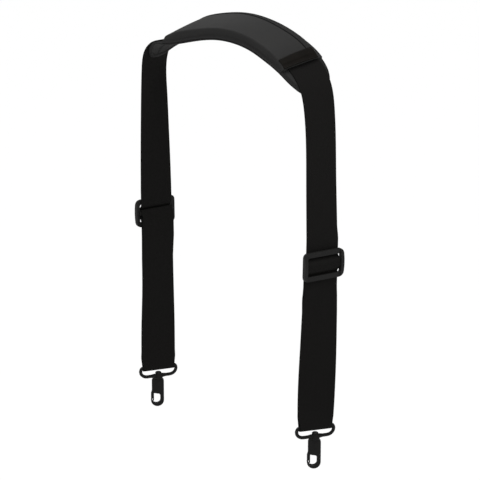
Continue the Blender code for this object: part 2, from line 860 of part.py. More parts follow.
def flat_body(outline, depth, chamfer):
    """An outline in the xz plane given depth along y, with its two rims set in a little."""
    body = bmesh.new()
    front = [body.verts.new((x, -depth / 2, z)) for x, z in outline]
    face = body.faces.new(front)
    swept = bmesh.ops.extrude_face_region(body, geom=[face])
    moved = [item for item in swept["geom"] if isinstance(item, bmesh.types.BMVert)]
    bmesh.ops.translate(body, verts=moved, vec=(0, depth, 0))
    bmesh.ops.recalc_face_normals(body, faces=body.faces)
    if chamfer:
        rims = [edge for edge in body.edges if abs(edge.verts[0].co.y - edge.verts[1].co.y) < depth / 2]
        bmesh.ops.bevel(body, geom=rims, offset=chamfer, segments=1, affect="EDGES", clamp_overlap=True)
    return body


def make_hook(run, side, name):
    matrix = hook_matrix(run, side)
    obj = new_object(name, flat_body(hook_outline(), HOOK_THICKNESS, HOOK_CHAMFER), "hook_metal")
    obj.matrix_world = matrix
    cap_low = BOSS_RISE + GAP
    stud = turned(
        [
            (STUD_RADIUS, HOOK_TOP - HOOK_SHOULDER),
            (STUD_RADIUS, cap_low),
            (CAP_RADIUS, cap_low),
            (CAP_RADIUS, cap_low + CAP_HEIGHT / 2),
            (CAP_RADIUS * 0.75, cap_low + CAP_HEIGHT),
        ],
        14,
    )
    combine(obj, helper(name + "_stud", stud, matrix), "UNION")
    slot_half = GATE_WIDTH / 2 + GAP
    slot_in = GATE_ROOT_X + GATE_ROOT_RADIUS + GAP + GATE_SLOT_ROOM
    slot = box(
        (-2 * HOOK_LEFT, -slot_half, EYE_TOP - HOOK_SHOULDER),
        (slot_in, slot_half, GATE_ROOT_Z + GATE_ROOT_RADIUS + GAP),
    )
    combine(obj, helper(name + "_slot", slot, matrix), "DIFFERENCE")
    return obj


def make_gate(run, side, name):
    """The leaf, with its round root on the joint's axis, a broad back and a thin tip inside the nose."""
    tip_z = HOOK_FOOT + GATE_TIP_RISE
    step_z = NOSE_TOP + NOSE_TIP / 2 + GAP
    back_x = -HOOK_LEFT - GATE_REACH
    tip_x = nose_inner_x() + 2 * GAP
    outline = []
    for k in range(GATE_ROOT_STEPS + 1):
        angle = math.pi * k / GATE_ROOT_STEPS
        outline.append(
            (GATE_ROOT_X + GATE_ROOT_RADIUS * math.cos(angle), GATE_ROOT_Z + GATE_ROOT_RADIUS * math.sin(angle))
        )
    outline.append((back_x, EYE_TOP))
    outline.append((back_x, step_z))
    outline.append((tip_x, step_z))
    outline.append((tip_x, tip_z))
    outline.append((tip_x + GATE_TIP_THICKNESS, tip_z))
    local = [(x - GATE_ROOT_X, z - GATE_ROOT_Z) for x, z in outline]
    obj = new_object(name, flat_body(local, GATE_WIDTH, 0.0), "hook_metal")
    obj.matrix_world = hook_matrix(run, side) @ Matrix.Translation((GATE_ROOT_X, 0, GATE_ROOT_Z))
    return obj


SLIDER_LEVEL = SLIDER_THICKNESS / 2 + GAP + HALF_PLY
CENTRE_BAR_LEVEL = SLIDER_LEVEL - CENTRE_BAR_SINK


def main():
    clear_scene()
    run = Run()
    make_base(run)
    make_cover(run)
    make_label(run)
    for side, word in ((-1, "left"), (1, "right")):
        make_webbing(run, side, f"webbing_{word}")
        make_slider(run, side, f"slider_{word}")
        make_ring(run, side, f"ring_{word}")
        make_hook(run, side, f"hook_{word}")
        make_gate(run, side, f"gate_{word}")


main()
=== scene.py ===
# Looks for the padded camera neck strap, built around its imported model.
# Metres, +Z up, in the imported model's own frame.
import math

import bmesh
import bpy
import numpy as np
from mathutils import Matrix, Vector


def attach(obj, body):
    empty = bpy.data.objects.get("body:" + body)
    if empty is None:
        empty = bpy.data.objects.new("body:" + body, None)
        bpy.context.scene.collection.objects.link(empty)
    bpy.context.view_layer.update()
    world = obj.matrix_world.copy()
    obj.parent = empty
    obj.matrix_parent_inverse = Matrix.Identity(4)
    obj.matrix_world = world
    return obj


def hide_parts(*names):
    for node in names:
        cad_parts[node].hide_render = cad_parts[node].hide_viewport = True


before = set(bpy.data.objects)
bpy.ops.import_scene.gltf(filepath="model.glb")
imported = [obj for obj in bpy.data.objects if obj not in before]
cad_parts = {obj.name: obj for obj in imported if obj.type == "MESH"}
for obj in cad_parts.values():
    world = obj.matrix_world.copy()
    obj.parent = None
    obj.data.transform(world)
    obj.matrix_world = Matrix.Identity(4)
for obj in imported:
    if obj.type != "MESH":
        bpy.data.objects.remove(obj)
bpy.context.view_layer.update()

# Shared clearance between pieces that touch
GAP = 0.0003

# Webbing
WEBBING_WIDTH = 0.038
WEBBING_THICKNESS = 0.0014
PLY_GAP = 0.0004
FOLD_PINCH = 0.0034
FOLD_PINCH_REACH = 0.0110
TAB_LENGTH = 0.012
SLIDER_FLAT = 0.022
BAR_FLAT = 0.006
FLAT_EASE = 0.016

# Arch and legs
HALF_SPAN = 0.1275
DROP = 0.3945
SLIDER_TO_RING = 0.1752

# Pad
BASE_HALF_LENGTH = 0.140
BASE_THICKNESS = 0.0020
TONGUE_ROUND = 0.026
TONGUE_TIP = 0.004
COVER_HALF_LENGTH = 0.0965
COVER_SHIFT = 0.0065
PAD_HALF_WIDTH = 0.029
BODY_HEIGHT = 0.0060
BODY_CROWN = 0.0010
SIDE_RUN = 0.0036
FLANGE_NEAR = 0.0022
FLANGE_FAR = 0.0044
FLANGE_THICKNESS = 0.0016
LABEL_WIDTH = 0.042
LABEL_LENGTH = 0.011
LABEL_THICKNESS = 0.0007
LABEL_OVERHANG = 0.0010

# Slider
SLIDER_HEIGHT = 0.0300
SLIDER_THICKNESS = 0.0030
CENTRE_BAR_HEIGHT = 0.0050
CENTRE_BAR_THICKNESS = 0.0024
CENTRE_BAR_SINK = 0.0016
DIVE_ANGLE = math.radians(40)

# Swivel loop
RING_WIRE = 0.0018
RING_PLAY = 0.0006

# The strap's run, from the left loop's bar over the arch to the right loop's bar.
# across: share of HALF_SPAN. down: share of DROP. roll: turn about the run, in degrees.
RUN_ROWS = (
    (-0.984, 1.000, -20.0),
    (-0.982, 0.890, -18.5),
    (-0.978, 0.780, -10.5),
    (-0.982, 0.660, -8.5),
    (-0.988, 0.560, -8.5),
    (-0.994, 0.440, -6.5),
    (-1.000, 0.323, -1.0),
    (-1.004, 0.228, 4.0),
    (-1.002, 0.158, 7.0),
    (-0.960, 0.1065, 3.0),
    (-0.840, 0.0745, -2.0),
    (-0.680, 0.0560, 6.0),
    (-0.500, 0.036, 13.0),
    (0.000, 0.000, 14.0),
    (0.520, 0.021, 12.5),
    (0.800, 0.052, 10.0),
    (0.925, 0.097, 7.5),
    (0.974, 0.158, 5.0),
    (0.992, 0.228, 4.0),
    (1.000, 0.323, 4.5),
    (1.010, 0.440, 6.5),
    (1.014, 0.560, 10.0),
    (0.998, 0.660, 17.0),
    (0.984, 0.780, 26.0),
    (0.968, 0.890, 34.0),
    (0.956, 1.000, 21.5),
)

# The pad's two edges along its run. along: share of BASE_HALF_LENGTH, from left to right.
# near and far: shares of PAD_HALF_WIDTH towards -Y and +Y.
EDGE_COLUMNS = ("along", "near", "far")
EDGE_ROWS = (
    (-1.00, 0.56, 0.86),
    (-0.84, 0.62, 1.00),
    (-0.70, 0.78, 1.02),
    (-0.35, 0.90, 0.93),
    (0.00, 0.84, 0.98),
    (0.35, 0.78, 1.03),
    (0.70, 1.00, 0.84),
    (1.00, 0.80, 0.76),
)

# The cover's body along its run. along: share of COVER_HALF_LENGTH. height: share of BODY_HEIGHT.
BODY_COLUMNS = ("along", "height")
BODY_ROWS = (
    (-1.00, 0.40),
    (-0.88, 0.82),
    (-0.45, 1.00),
    (0.00, 1.00),
    (0.50, 1.00),
    (0.80, 0.90),
    (1.00, 0.35),
)

RUN_SAMPLES = 4000
HALF_PLY = WEBBING_THICKNESS / 2
PLY_PITCH = WEBBING_THICKNESS + PLY_GAP
SEAT_DEPTH = HALF_PLY + GAP + BASE_THICKNESS
SLIDER_LEVEL = SLIDER_THICKNESS / 2 + GAP + HALF_PLY
CENTRE_BAR_LEVEL = SLIDER_LEVEL - CENTRE_BAR_SINK

# Fineness of the shown surfaces
LEG_STEP = 0.0022
PAD_STEP = 0.0018
BEND_STEPS = 14
CORNER_RADIUS = 0.004

# Camera: the photo's angle, read from the legs, the arch and the sliders
CAMERA_AZIMUTH = math.radians(48.0)
CAMERA_ELEVATION = math.radians(16.8)
CAMERA_DISTANCE = 2.7664
CAMERA_TARGET = Vector((0.0063, 0.0, -0.2189))
CAMERA_SENSOR = 36.0
CAMERA_CLIP = 50

# The photo's focal length and side in its own pixels
PHOTO_FOCAL = 2678
PHOTO_SIDE = 480
CAMERA_LENS = PHOTO_FOCAL / PHOTO_SIDE * CAMERA_SENSOR

# Floor
FLOOR_LEVEL = -0.80
FLOOR_REACH = 12.0
FLOOR_TONE = 0.86

# Light: a white surround, a wide overhead sun, and two lamps
WORLD_STRENGTH = 0.35
SUN_STRENGTH = 2.7
SUN_ANGLE = math.radians(50)
SUN_TURN = (math.radians(8), math.radians(14), 0.0)

# Each lamp's name, place, target, size and power
LAMPS = (
    ("key", (-0.34, 0.14, 0.34), (-0.02, 0.0, 0.0), 0.18, 0.50),
    ("side", (0.42, -0.26, 0.06), (0.128, 0.0, -0.09), 0.12, 0.55),
)


# Run of the strap


def smooth_curve(knots, values, at):
    """A natural cubic spline through the values, read at the given places."""
    knots = np.asarray(knots, float)
    values = np.asarray(values, float)
    steps = np.diff(knots)
    slopes = np.diff(values) / steps
    count = len(knots)
    system = np.eye(count)
    right = np.zeros(count)
    for i in range(1, count - 1):
        system[i, i - 1 : i + 2] = steps[i - 1], 2 * (steps[i - 1] + steps[i]), steps[i]
        right[i] = 6 * (slopes[i] - slopes[i - 1])
    bend = np.linalg.solve(system, right)
    cell = np.clip(np.searchsorted(knots, at, side="right") - 1, 0, count - 2)
    before = at - knots[cell]
    after = knots[cell + 1] - at
    width = steps[cell]
    return (
        bend[cell] * after**3 / (6 * width)
        + bend[cell + 1] * before**3 / (6 * width)
        + (values[cell] / width - bend[cell] * width / 6) * after
        + (values[cell + 1] / width - bend[cell + 1] * width / 6) * before
    )


def unit(vectors):
    return vectors / np.linalg.norm(vectors, axis=-1, keepdims=True)


class Run:
    """The strap's centre line with its width and outward directions, by arc length from the apex."""

    def __init__(self):
        rows = np.array(RUN_ROWS)
        points = np.stack([HALF_SPAN * rows[:, 0], -DROP * rows[:, 1]], axis=1)
        chords = np.linalg.norm(np.diff(points, axis=0), axis=1)
        knots = np.concatenate([[0.0], np.cumsum(chords)])
        at = np.linspace(0.0, knots[-1], RUN_SAMPLES)
        x = smooth_curve(knots, points[:, 0], at)
        z = smooth_curve(knots, points[:, 1], at)
        self.roll = np.radians(smooth_curve(knots, rows[:, 2], at))
        self.places = np.stack([x, np.zeros_like(x), z], axis=1)
        self.ways = unit(np.gradient(self.places, axis=0))
        lengths = np.linalg.norm(np.diff(self.places, axis=0), axis=1)
        travelled = np.concatenate([[0.0], np.cumsum(lengths)])
        apex = next(i for i, row in enumerate(RUN_ROWS) if row[1] == 0.0)
        self.along = travelled - np.interp(knots[apex], at, travelled)
        for side in (-1, 1):
            self.flatten(side * self.end(side), BAR_FLAT)
            self.flatten(side * (self.end(side) - SLIDER_TO_RING), SLIDER_FLAT)
        place, _, out, _ = self.frames(0.0)
        self.places = self.places - (place - out * SEAT_DEPTH)

    def flatten(self, centre, half):
        """Makes the run straight and even on both sides of a hard piece, and eases it back beyond."""
        place = [np.interp(centre, self.along, self.places[:, k]) for k in range(3)]
        way = [np.interp(centre, self.along, self.ways[:, k]) for k in range(3)]
        roll = np.interp(centre, self.along, self.roll)
        straight = np.array(place) + np.outer(self.along - centre, way)
        share = np.clip((half + FLAT_EASE - np.abs(self.along - centre)) / FLAT_EASE, 0, 1)
        share = share * share * (3 - 2 * share)
        self.roll = self.roll + share * (roll - self.roll)
        self.places = self.places + share[:, None] * (straight - self.places)
        self.ways = self.ways + share[:, None] * (np.array(way) - self.ways)

    def end(self, side):
        """Arc length from the apex to the loop's bar on this side, always positive."""
        return abs(self.along[-1] if side > 0 else self.along[0])

    def frames(self, s):
        """Places, width directions, outward directions and run directions at these arc lengths."""
        s = np.asarray(s, float)
        place = np.stack([np.interp(s, self.along, self.places[:, k]) for k in range(3)], axis=-1)
        way = unit(np.stack([np.interp(s, self.along, self.ways[:, k]) for k in range(3)], axis=-1))
        beyond = s - np.clip(s, self.along[0], self.along[-1])
        place = place + way * beyond[..., None]
        roll = np.interp(s, self.along, self.roll)[..., None]
        width = unit(np.array([0.0, 1.0, 0.0]) - way * way[..., 1:2])
        out = np.cross(way, width)
        cosine, sine = np.cos(roll), np.sin(roll)
        return place, width * cosine + out * sine, out * cosine - width * sine, way

    def points(self, s, across, out):
        place, width, outward, _ = self.frames(s)
        return place + width * np.asarray(across)[..., None] + outward * np.asarray(out)[..., None]


run = Run()


# Mesh helpers


def link(name, mesh):
    obj = bpy.data.objects.new(name, mesh)
    bpy.context.scene.collection.objects.link(obj)
    return obj


def grid_mesh(name, grid, around=True, along=False, uv=None, caps=True):
    """A mesh over rows of points. around closes each row, along closes the last row to the first."""
    rows, count = grid.shape[:2]
    points = grid.reshape(-1, 3)
    faces = []
    face_uv = []
    for i in range(rows if along else rows - 1):
        i_next = (i + 1) % rows
        for j in range(count if around else count - 1):
            j_next = (j + 1) % count
            faces.append((i * count + j, i * count + j_next, i_next * count + j_next, i_next * count + j))
            if uv is not None:
                wrapped = [uv[i, j], uv[i, j + 1], uv[i + 1, j + 1], uv[i + 1, j]]
                face_uv.extend(wrapped)
    if caps and around and not along:
        faces.append(tuple(range(count - 1, -1, -1)))
        faces.append(tuple((rows - 1) * count + j for j in range(count)))
        if uv is not None:
            face_uv.extend(uv[0, count - 1 - j] for j in range(count))
            face_uv.extend(uv[rows - 1, j] for j in range(count))
    mesh = bpy.data.meshes.new(name)
    mesh.from_pydata(points.tolist(), [], faces)
    if uv is not None:
        layer = mesh.uv_layers.new(name="strap")
        layer.data.foreach_set("uv", np.array(face_uv, np.float32).ravel())
    mesh.update()
    mesh.shade_smooth()
    return link(name, mesh)


def outward(obj):
    """Turns all faces outward."""
    body = bmesh.new()
    body.from_mesh(obj.data)
    bmesh.ops.recalc_face_normals(body, faces=body.faces)
    body.to_mesh(obj.data)
    body.free()
    return obj


def column(rows, columns, name, at):
    """One column of a table, read smoothly at these shares of its first column."""
    table = np.array(rows)
    return smooth_curve(table[:, 0], table[:, columns.index(name)], np.asarray(at, float))


# Webbing

# Steps in a soft bend, and the most of a straight stretch that a bend may take
FILLET_STEPS = 8
BEND_LIMIT = 0.45

# Where the plies start to spread before the fold, in fold radii, and past the tab, in tab lengths
FOLD_SPREAD = 6
TAB_EASE = 2

# Points of the path that are nearer than this are one point
SAME_POINT = 1e-6


def arc(centre, radius, first, last):
    """Points round a centre in the plane of the run, from the first angle to the last."""
    angles = np.linspace(first, last, BEND_STEPS + 1)
    return [np.array((centre[0] + radius * math.sin(a), centre[1] + radius * math.cos(a))) for a in angles]


def filleted(points, radius):
    """A path in the plane of the run, with a soft bend at each corner."""
    path = [np.array(points[0])]
    for before, corner, after in zip(points, points[1:], points[2:]):
        corner = np.array(corner)
        back = np.array(before) - corner
        ahead = np.array(after) - corner
        back_length = np.linalg.norm(back)
        ahead_length = np.linalg.norm(ahead)
        back = back / back_length
        ahead = ahead / ahead_length
        half = math.acos(max(-1.0, min(1.0, float(back @ ahead)))) / 2
        setback = min(radius / math.tan(half), BEND_LIMIT * back_length, BEND_LIMIT * ahead_length)
        start = corner + back * setback
        finish = corner + ahead * setback
        for step in range(FILLET_STEPS + 1):
            k = step / FILLET_STEPS
            path.append((1 - k) ** 2 * start + 2 * k * (1 - k) * corner + k**2 * finish)
    path.append(np.array(points[-1]))
    return path


def webbing_path(side):
    """The webbing's middle line as (distance from the apex, outward offset), from the pad to the tab's end."""
    bar = run.end(side)
    slider = bar - SLIDER_TO_RING
    wrap_radius = CENTRE_BAR_THICKNESS / 2 + GAP + HALF_PLY
    over_radius = wrap_radius + PLY_PITCH
    level = CENTRE_BAR_LEVEL
    round_centre = (CENTRE_BAR_HEIGHT - CENTRE_BAR_THICKNESS) / 2
    fold_radius = RING_WIRE + RING_PLAY + HALF_PLY
    tab_end = slider + SLIDER_HEIGHT / 2 + TAB_LENGTH
    ease = TAB_EASE * TAB_LENGTH
    spread = FOLD_SPREAD * fold_radius

    def dive(radius, floor):
        fall = level + radius * math.cos(DIVE_ANGLE) - floor
        return round_centre + radius * math.sin(DIVE_ANGLE) + fall / math.tan(DIVE_ANGLE)

    over = arc((slider - round_centre, level), over_radius, -DIVE_ANGLE, 0.0)
    over += arc((slider + round_centre, level), over_radius, 0.0, DIVE_ANGLE)
    outer = filleted([(GAP / 2, 0.0), (slider - dive(over_radius, 0.0), 0.0), over[0]], CORNER_RADIUS)[:-1]
    outer += over
    outer += filleted(
        [
            over[-1],
            (slider + dive(over_radius, 0.0), 0.0),
            (tab_end, 0.0),
            (tab_end + ease, PLY_PITCH / 2),
            (bar - spread, PLY_PITCH / 2),
            (bar, fold_radius),
        ],
        CORNER_RADIUS,
    )[1:]
    fold = arc((bar, 0.0), fold_radius, 0.0, math.pi)[1:]
    wrap = arc((slider - round_centre, level), wrap_radius, -math.pi, 0.0)
    wrap += arc((slider + round_centre, level), wrap_radius, 0.0, DIVE_ANGLE)
    floor = -PLY_PITCH
    inner = filleted(
        [
            fold[-1],
            (bar - spread, -PLY_PITCH / 2),
            (tab_end + ease, -PLY_PITCH / 2),
            (tab_end, -2 * PLY_PITCH),
            (slider + dive(wrap_radius, floor) - WEBBING_THICKNESS, -2 * PLY_PITCH),
            wrap[0],
        ],
        CORNER_RADIUS,
    )[1:-1]
    tab = filleted(
        [wrap[-1], (slider + dive(wrap_radius, floor), floor), (tab_end, floor)],
        WEBBING_THICKNESS,
    )[1:]
    return outer + fold + inner + wrap + tab


def spaced(path, longest):
    """The path with points added, so that no step is longer than this."""
    points = [path[0]]
    for here, there in zip(path, path[1:]):
        length = np.linalg.norm(there - here)
        if length < SAME_POINT:
            continue
        parts = max(1, math.ceil(length / longest))
        points += [here + (there - here) * k / parts for k in range(1, parts + 1)]
    return np.array(points)


# Webbing's section: across as a share of half the width, level as a share of half the thickness.
# The selvedge is a narrow rounded cord along each edge.
SELVEDGE = ((1.0, 0.0), (0.996, 0.55), (0.982, 0.92), (0.955, 1.0), (0.925, 0.80), (0.89, 0.97))
FIELD = (0.75, 0.5, 0.25, 0.0)


def webbing_section():
    """The webbing's closed section, with its corded selvedges."""
    side = list(SELVEDGE) + [(x, 1.0) for x in FIELD]
    upper = side + [(-x, y) for x, y in side[-2::-1]]
    lower = [(x, -y) for x, y in upper[-2:0:-1]]
    return np.array(upper + lower)


def webbing(side, name):
    """One leg's webbing as a closed skin, and the length of its path."""
    path = spaced(webbing_path(side), LEG_STEP)
    ways = unit(np.gradient(path, axis=0))
    normals = np.stack([-ways[:, 1], ways[:, 0]], axis=1)
    lengths = np.concatenate([[0.0], np.cumsum(np.linalg.norm(np.diff(path, axis=0), axis=1))])
    section = webbing_section()
    near_fold = np.clip(1.0 - np.abs(run.end(side) - path[:, 0]) / FOLD_PINCH_REACH, 0, 1)
    half = (WEBBING_WIDTH - FOLD_PINCH * near_fold) / 2
    across = half[:, None] * section[None, :, 0]
    level = HALF_PLY * section[None, :, 1]
    distance = path[:, :1] + normals[:, :1] * level
    out = path[:, 1:] + normals[:, 1:] * level
    grid = run.points(side * distance, across, out)
    around = np.concatenate([section[:, 0], section[:1, 0]])
    uv = np.empty((len(path), len(around), 2))
    uv[:, :, 0] = around[None] * WEBBING_WIDTH / 2
    uv[:, :, 1] = lengths[:, None]
    return outward(grid_mesh(name, grid, uv=uv)), lengths[-1]


# Pad


def edge_widths(s):
    """The base's two half widths at these places, with the tongues' round ends."""
    share = np.clip(np.asarray(s) / BASE_HALF_LENGTH, -1, 1)
    near = column(EDGE_ROWS, EDGE_COLUMNS, "near", share) * PAD_HALF_WIDTH
    far = column(EDGE_ROWS, EDGE_COLUMNS, "far", share) * PAD_HALF_WIDTH
    into_round = np.clip((np.abs(s) - (BASE_HALF_LENGTH - TONGUE_ROUND)) / TONGUE_ROUND, 0, 1)
    keep = np.sqrt(1.0 - into_round**2)
    return TONGUE_TIP + (near - TONGUE_TIP) * keep, TONGUE_TIP + (far - TONGUE_TIP) * keep


def body_height(s):
    """Height of the cover's body above its seat at these places."""
    share = (s - COVER_SHIFT) / COVER_HALF_LENGTH
    return column(BODY_ROWS, BODY_COLUMNS, "height", np.clip(share, -1, 1)) * BODY_HEIGHT


COVER_LEFT = COVER_SHIFT - COVER_HALF_LENGTH
COVER_RIGHT = COVER_SHIFT + COVER_HALF_LENGTH
FLANGE_TOP = -HALF_PLY + FLANGE_THICKNESS
END_ROUND = 0.0045

# Roundness of the body's wall, and the share of its height that is left at the cover's two ends
WALL_POWER = 2.4
END_SHARE = 0.30


def body_level(s, across):
    """Outward level of the cover's surface: flat flange, quick rounded wall, and a crowned top."""
    near, far = edge_widths(s)
    top = HALF_PLY + GAP + FLANGE_THICKNESS + body_height(s)
    from_near = (across + near - FLANGE_NEAR) / SIDE_RUN
    from_far = (far - across - FLANGE_FAR) / SIDE_RUN
    inside = np.clip(np.minimum(from_near, from_far), 0, 1)
    rise = (1 - (1 - inside) ** WALL_POWER) ** 0.5
    middle = (far - near - FLANGE_FAR + FLANGE_NEAR) / 2
    half = (far + near - FLANGE_FAR - FLANGE_NEAR) / 2 - SIDE_RUN
    crown = BODY_CROWN * (1 - np.clip(np.abs(across - middle) / half, 0, 1) ** 2)
    to_end = np.minimum(s - COVER_LEFT, COVER_RIGHT - s)
    end = END_SHARE + (1 - END_SHARE) * np.sqrt(1 - (1 - np.clip(to_end / END_ROUND, 0, 1)) ** 2)
    return FLANGE_TOP + (top + crown - FLANGE_TOP) * rise * end


# Extra places close to the cover's two ends
END_STEPS = (0.0004, 0.001)

# Shares of the cover's width where its finer side strips stop, and the points in each strip
STRIP_SHARES = (0.22, 0.78)
STRIP_POINTS = 16
MIDDLE_POINTS = 22

# The flange's least width beside the webbing's channel, and the bulge of its edge
FLANGE_LEAST = 0.001
FLANGE_BULGE = 0.0003


def cover(name):
    """The padded cover as one closed skin."""
    count = int((COVER_RIGHT - COVER_LEFT) / PAD_STEP)
    places = np.linspace(COVER_LEFT, COVER_RIGHT, count)
    left_end = [COVER_LEFT + step for step in END_STEPS]
    right_end = [COVER_RIGHT - step for step in END_STEPS]
    places = np.unique(np.concatenate([left_end, places, right_end]))
    near, far = edge_widths(places)
    first, last = STRIP_SHARES
    middle = np.linspace(first, last, MIDDLE_POINTS)[1:-1]
    shares = np.concatenate([np.linspace(0, first, STRIP_POINTS), middle, np.linspace(last, 1, STRIP_POINTS)])
    across = -near[:, None] + (near + far)[:, None] * shares[None]
    level = body_level(places[:, None] * np.ones_like(across), across)
    channel = WEBBING_WIDTH / 2 + GAP
    lid = HALF_PLY + GAP
    seat = -HALF_PLY
    edge = FLANGE_THICKNESS / 2
    under_across = []
    under_level = []
    for n, f in zip(near, far):
        inner_far = min(channel, f - FLANGE_LEAST)
        inner_near = min(channel, n - FLANGE_LEAST)
        far_side = [f + FLANGE_BULGE, f, inner_far, inner_far]
        near_side = [-inner_near, -inner_near, -n, -n - FLANGE_BULGE]
        under_across.append(far_side + near_side)
        under_level.append([seat + edge, seat, seat, lid, lid, seat, seat, seat + edge])
    across = np.concatenate([across, np.array(under_across)], axis=1)
    level = np.concatenate([level, np.array(under_level)], axis=1)
    s = places[:, None] * np.ones_like(across)
    grid = run.points(s, across, level)
    closing = np.concatenate([across, across[:, :1]], axis=1)
    uv = np.stack([closing, places[:, None] * np.ones_like(closing)], axis=-1)
    return outward(grid_mesh(name, grid, uv=uv))


# Places along the run between which the far piping moves up onto the body's top
BAND_TURN = (-0.030, 0.045)

# Bands on the cover. Each pair is read along BAND_TURN. A start is counted in from the cover's edge.
FAR_BAND_SHARE = 0.75
# The seam bands are strips of painted shadow: dark material laid along each piping's inner edge, where the
# groove would be in shade.
FAR_PIPING_WIDTHS = (0.0022, 0.0064)
FAR_SEAM_SHADOW_OFFSETS = (0.0021, 0.0062)
FAR_SEAM_SHADOW_WIDTHS = (0.0011, 0.0011)
NEAR_PIPING_STARTS = (0.0001, 0.0001)
NEAR_PIPING_WIDTHS = (0.0012, 0.0012)
NEAR_SEAM_SHADOW_STARTS = (0.0012, 0.0012)
NEAR_SEAM_SHADOW_WIDTHS = (0.0006, 0.0006)
NEAR_SEAM_SHADOW_FIRST = 0.040
PIPING_PROUD = 0.0005
FAR_SEAM_SHADOW_PROUD = 0.00015
NEAR_SEAM_SHADOW_PROUD = 0.00010

# How far a band stays from the cover's ends, tucks its edges in and sinks into the cover, and its fineness
BAND_END_GAP = 0.0008
BAND_TUCK = 0.0001
BAND_SINK = 0.0004
BAND_STEPS = 190
BAND_COLUMNS = 9


def cover_band(name, toward_far, first, start, width, proud):
    """A raised band that follows the cover's surface beside one edge, from one place to the right end."""
    s = np.linspace(first, COVER_RIGHT - BAND_END_GAP, BAND_STEPS)
    near, far = edge_widths(s)
    over_across = []
    over_level = []
    under_level = []
    begin = np.interp(s, BAND_TURN, start)
    wide = np.interp(s, BAND_TURN, width)
    for share in np.linspace(0, 1, BAND_COLUMNS):
        from_edge = begin + share * wide
        across = far - from_edge if toward_far else -near + from_edge
        level = body_level(s, across)
        rounding = math.sqrt(max(0.0, 1 - (2 * share - 1) ** 4))
        over_across.append(across)
        over_level.append(level + proud * rounding - BAND_TUCK * (1 - rounding))
        under_level.append(level - BAND_SINK)
    over = [run.points(s, across, level) for across, level in zip(over_across, over_level)]
    under = [run.points(s, across, level) for across, level in zip(over_across, under_level)]
    grid = np.stack(over + under[::-1], axis=1)
    travelled = np.broadcast_to(s[:, None], (len(s), grid.shape[1] + 1))
    spacing = width[1] / (BAND_COLUMNS - 1)
    around = np.broadcast_to(np.arange(grid.shape[1] + 1)[None] * spacing, travelled.shape)
    return outward(grid_mesh(name, grid, uv=np.stack([around, travelled], axis=-1)))


# The label's fineness, its hems, where it meets the body's walls and end, and its droop past the cover
LABEL_ROWS = 14
LABEL_STEPS = 60
LABEL_HEM = 0.0009
LABEL_FIELD = 0.75
LABEL_WALL_SHARE = 0.5
LABEL_END_SHARE = 0.6
LABEL_DROOP = 0.0012
LABEL_DROOP_REACH = 0.004


def label(name):
    """The bare woven tag, folded under at both long edges, lying on the cover's right end."""
    finish = COVER_RIGHT + LABEL_OVERHANG
    start = finish - LABEL_LENGTH
    rows = np.linspace(start, finish, LABEL_ROWS)
    near, far = edge_widths(rows)
    left = -near + FLANGE_NEAR + LABEL_WALL_SHARE * SIDE_RUN
    right = np.minimum(left + LABEL_WIDTH, far - FLANGE_FAR - LABEL_WALL_SHARE * SIDE_RUN)
    shares = np.linspace(0, 1, LABEL_STEPS + 1)
    across = left[:, None] + (right - left)[:, None] * shares[None]
    s = rows[:, None] * np.ones_like(across)
    inside = np.clip(s, COVER_LEFT + END_ROUND, COVER_RIGHT - LABEL_END_SHARE * END_ROUND)
    level = body_level(inside, across) + GAP
    hem = np.clip((LABEL_HEM - np.minimum(rows - start, finish - rows)) / LABEL_HEM, 0, 1)[:, None]
    thick = LABEL_THICKNESS * (LABEL_FIELD + (1 - LABEL_FIELD) * hem)
    past = (rows - COVER_RIGHT + LABEL_DROOP_REACH) / LABEL_DROOP_REACH
    droop = LABEL_DROOP * np.clip(past, 0, 1)[:, None]
    over = run.points(s, across, level + thick - droop)
    under = run.points(s, across, level - droop)
    grid = np.concatenate([over, under[:, ::-1]], axis=1)
    loop = np.concatenate([across, across[:, ::-1], across[:, :1]], axis=1)
    uv = np.stack([loop, rows[:, None] * np.ones_like(loop)], axis=-1)
    return outward(grid_mesh(name, grid, uv=uv)), rows, across, level + thick - droop


# Fineness of the base's outline, and the rounds of smoothing that soften its corners
OUTLINE_STEP = 0.0016
TIP_POINTS = 40
EDGE_POINTS = 260
SMOOTHING_ROUNDS = 60


def base_outline(inset=0.0):
    """The base's outline as a closed loop of (place along the run, place across), set in by a distance."""
    half = BASE_HALF_LENGTH
    turn = np.linspace(0, math.pi / 2, TIP_POINTS)
    tips = half - TONGUE_ROUND + np.sin(turn) * TONGUE_ROUND
    middle = np.linspace(-half + TONGUE_ROUND, half - TONGUE_ROUND, EDGE_POINTS)
    s = np.concatenate([-tips[::-1], middle[1:-1], tips])
    near, far = edge_widths(s)
    loop = np.concatenate([np.stack([s, -near], axis=1), np.stack([s, far], axis=1)[::-1]])
    for _ in range(SMOOTHING_ROUNDS):
        loop = 0.5 * loop + 0.25 * (np.roll(loop, 1, axis=0) + np.roll(loop, -1, axis=0))
    loop = even(loop, OUTLINE_STEP)
    if inset:
        ways = unit(np.roll(loop, -1, axis=0) - np.roll(loop, 1, axis=0))
        loop = loop + np.stack([-ways[:, 1], ways[:, 0]], axis=1) * inset
        loop = even(loop, OUTLINE_STEP)
    return loop


def even(loop, step):
    """A closed loop resampled to even steps."""
    closed = np.concatenate([loop, loop[:1]])
    lengths = np.concatenate([[0.0], np.cumsum(np.linalg.norm(np.diff(closed, axis=0), axis=1))])
    count = int(round(lengths[-1] / step))
    at = np.linspace(0, lengths[-1], count, endpoint=False)
    return np.stack([np.interp(at, lengths, closed[:, k]) for k in range(2)], axis=1)


# The base's spine, as a share of its length
SPINE_SHARE = 0.97

# Rings of the base's skin, from its outline in. inward: share of the way to the spine.
# level: share of the thickness, counted from the other face.
BASE_RINGS = (
    (0.0, 0.5),
    (0.004, 0.85),
    (0.02, 1.0),
    (0.12, 1.0),
    (0.3, 1.0),
    (0.6, 1.0),
    (0.97, 1.0),
)


